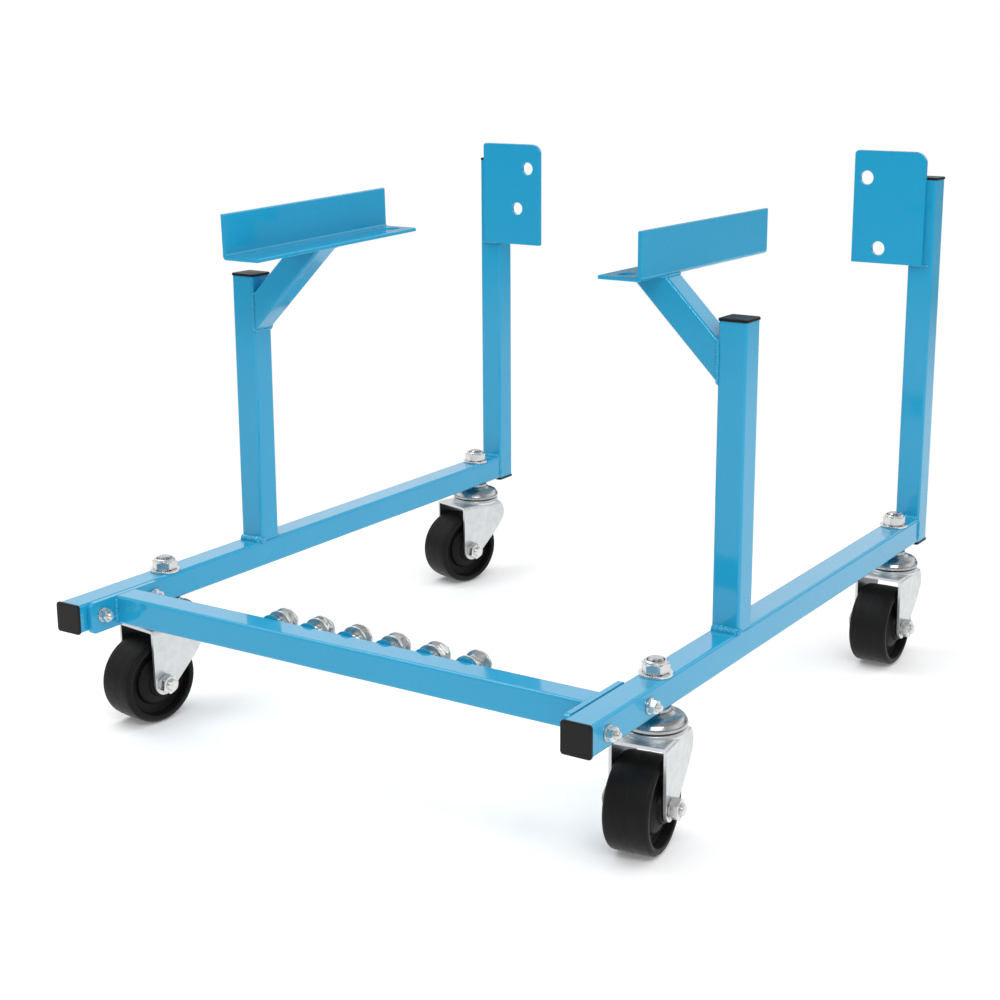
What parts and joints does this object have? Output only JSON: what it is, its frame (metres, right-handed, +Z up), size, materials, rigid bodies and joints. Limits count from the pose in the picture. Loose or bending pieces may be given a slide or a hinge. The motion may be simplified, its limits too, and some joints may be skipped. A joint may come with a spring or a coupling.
{
  "type": "engine stand",
  "caption": "Rolling engine cradle: two square-tube side frames with posts, braced mount angles and bell-housing plates, a bolted cross-beam and swivel casters.",
  "frame": {"origin": "on the floor, at the centre of the overall box (on the mid-plane between the two side frames, half-way between the front and rear ends)", "axes": "+X toward the right-hand side frame, +Y from the front cross-beam to the rear posts, +Z up"},
  "size_m": [0.595, 0.6912, 0.5105],
  "materials": {
    "blue_paint": "gloss powder coat",
    "black_caps": "moulded",
    "zinc": "bright zinc plate",
    "zinc_satin": "satin zinc plate",
    "sleeve_steel": "plain steel",
    "black_wheel": "moulded, light sheen"
  },
  "bodies": {
    "stand_frame": {"rail_left": "blue_paint", "mid_post_left": "blue_paint", "rear_post_left": "blue_paint", "mount_angle_left": "blue_paint", "brace_left": "blue_paint", "bell_plate_left": "blue_paint", "beam_end_plate_left": "blue_paint", "cap_rail_left": "black_caps", "cap_mid_post_left": "black_caps", "cap_rear_top_left": "black_caps", "cap_rear_foot_left": "black_caps", "beam_bolt_left_front": "zinc", "beam_bolt_left_rear": "zinc", "rail_right": "blue_paint", "mid_post_right": "blue_paint", "rear_post_right": "blue_paint", "mount_angle_right": "blue_paint", "brace_right": "blue_paint", "bell_plate_right": "blue_paint", "beam_end_plate_right": "blue_paint", "cap_rail_right": "black_caps", "cap_mid_post_right": "black_caps", "cap_rear_top_right": "black_caps", "cap_rear_foot_right": "black_caps", "beam_bolt_right_front": "zinc", "beam_bolt_right_rear": "zinc", "cross_beam": "blue_paint", "stowed_bolt_1": "zinc", "stowed_bolt_2": "zinc", "stowed_bolt_3": "zinc", "stowed_bolt_4": "zinc", "stowed_bolt_5": "zinc", "stowed_bolt_6": "zinc", "caster_fl_stem": "zinc", "caster_fl_nut": "zinc", "caster_fr_stem": "zinc", "caster_fr_nut": "zinc", "caster_rl_stem": "zinc", "caster_rl_nut": "zinc", "caster_rr_stem": "zinc", "caster_rr_nut": "zinc"},
    "fork_fl": {"caster_fl_fork": "zinc_satin", "caster_fl_axle": "zinc", "caster_fl_sleeve": "sleeve_steel"},
    "wheel_fl": {"caster_fl_wheel": "black_wheel"},
    "fork_fr": {"caster_fr_fork": "zinc_satin", "caster_fr_axle": "zinc", "caster_fr_sleeve": "sleeve_steel"},
    "wheel_fr": {"caster_fr_wheel": "black_wheel"},
    "fork_rl": {"caster_rl_fork": "zinc_satin", "caster_rl_axle": "zinc", "caster_rl_sleeve": "sleeve_steel"},
    "wheel_rl": {"caster_rl_wheel": "black_wheel"},
    "fork_rr": {"caster_rr_fork": "zinc_satin", "caster_rr_axle": "zinc", "caster_rr_sleeve": "sleeve_steel"},
    "wheel_rr": {"caster_rr_wheel": "black_wheel"}
  },
  "joints": [
    {"name": "swivel_fl", "type": "hinge", "parent": "stand_frame", "child": "fork_fl", "pos_m": [-0.2585, -0.225, 0.0945], "axis": [0, 0, 1], "continuous": true},
    {"name": "roll_fl", "type": "hinge", "parent": "fork_fl", "child": "wheel_fl", "pos_m": [-0.26152, -0.24962, 0.0398], "axis": [0.9925, -0.1219, 0], "continuous": true},
    {"name": "swivel_fr", "type": "hinge", "parent": "stand_frame", "child": "fork_fr", "pos_m": [0.2585, -0.2245, 0.0945], "axis": [0, 0, 1], "continuous": true},
    {"name": "roll_fr", "type": "hinge", "parent": "fork_fr", "child": "wheel_fr", "pos_m": [0.26169, -0.24909, 0.0398], "axis": [0.9917, 0.1288, 0], "continuous": true},
    {"name": "swivel_rl", "type": "hinge", "parent": "stand_frame", "child": "fork_rl", "pos_m": [-0.2585, 0.2857, 0.0945], "axis": [0, 0, 1], "continuous": true},
    {"name": "roll_rl", "type": "hinge", "parent": "fork_rl", "child": "wheel_rl", "pos_m": [-0.26533, 0.26186, 0.0398], "axis": [0.9613, -0.2755, 0], "continuous": true},
    {"name": "swivel_rr", "type": "hinge", "parent": "stand_frame", "child": "fork_rr", "pos_m": [0.2585, 0.2819, 0.0945], "axis": [0, 0, 1], "continuous": true},
    {"name": "roll_rr", "type": "hinge", "parent": "fork_rr", "child": "wheel_rr", "pos_m": [0.25859, 0.2571, 0.0398], "axis": [1, 0.0035, 0], "continuous": true}
  ]
}
